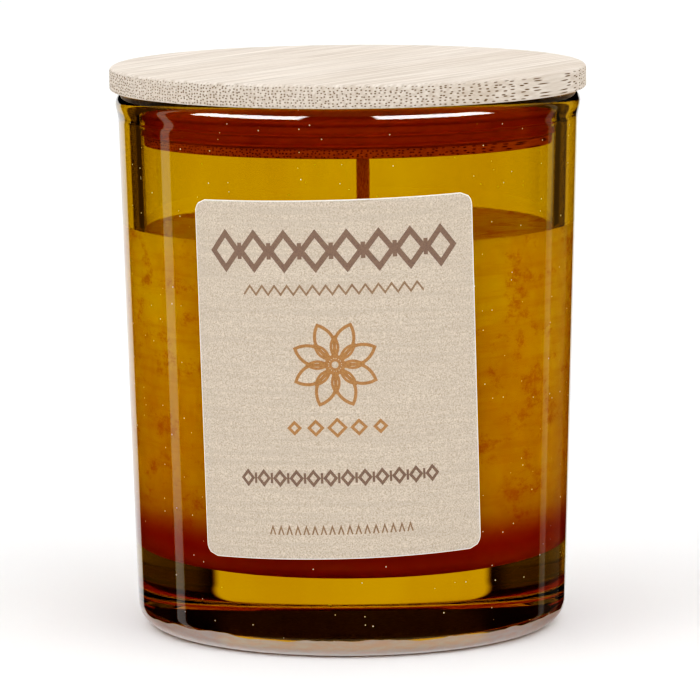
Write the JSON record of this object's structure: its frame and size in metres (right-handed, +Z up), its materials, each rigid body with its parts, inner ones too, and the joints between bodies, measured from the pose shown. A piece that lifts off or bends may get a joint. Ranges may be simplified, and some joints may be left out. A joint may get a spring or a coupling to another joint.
{
  "type": "lidded candle jar",
  "caption": "Tapered amber glass candle jar filled with wax, with a wick, a kraft paper label and a press-in bamboo lid with a silicone seal.",
  "frame": {"origin": "centre of the ring that the glass stands on, on the jar's axis", "axes": "+Z up along the jar's axis, towards the lid; the front label faces -Y; +X is to the right when the label is read"},
  "size_m": [0.0826, 0.0826, 0.0979],
  "materials": {
    "amber_glass": "polished clear glass, lacquered amber outside",
    "wax": "satin poured wax",
    "cotton": "braided, waxed",
    "tinned_steel": "pressed sheet",
    "adhesive_pad": "foam pad",
    "kraft_paper": "uncoated kraft, printed",
    "base_paper": "coated, printed in a pale ink",
    "bamboo_disc": "sanded, clear matte",
    "bamboo_plug": "sanded, stained",
    "silicone": "satin silicone"
  },
  "bodies": {
    "jar": {"glass_jar": "amber_glass", "wax_fill": "wax", "wick": "cotton", "wick_sustainer": "tinned_steel", "wick_sticker": "adhesive_pad", "front_label": "kraft_paper", "base_label": "base_paper"},
    "seal": {"seal_ring": "silicone"},
    "lid": {"lid_disc": "bamboo_disc", "lid_plug": "bamboo_plug"}
  },
  "joints": [
    {"name": "lid_lift", "type": "slide", "parent": "jar", "child": "seal", "axis": [0, 0, 1], "range_m": [0, 0.05]},
    {"name": "lid_turn", "type": "hinge", "parent": "seal", "child": "lid", "pos_m": [0, 0, 0.0894], "axis": [0, 0, 1], "continuous": true}
  ]
}
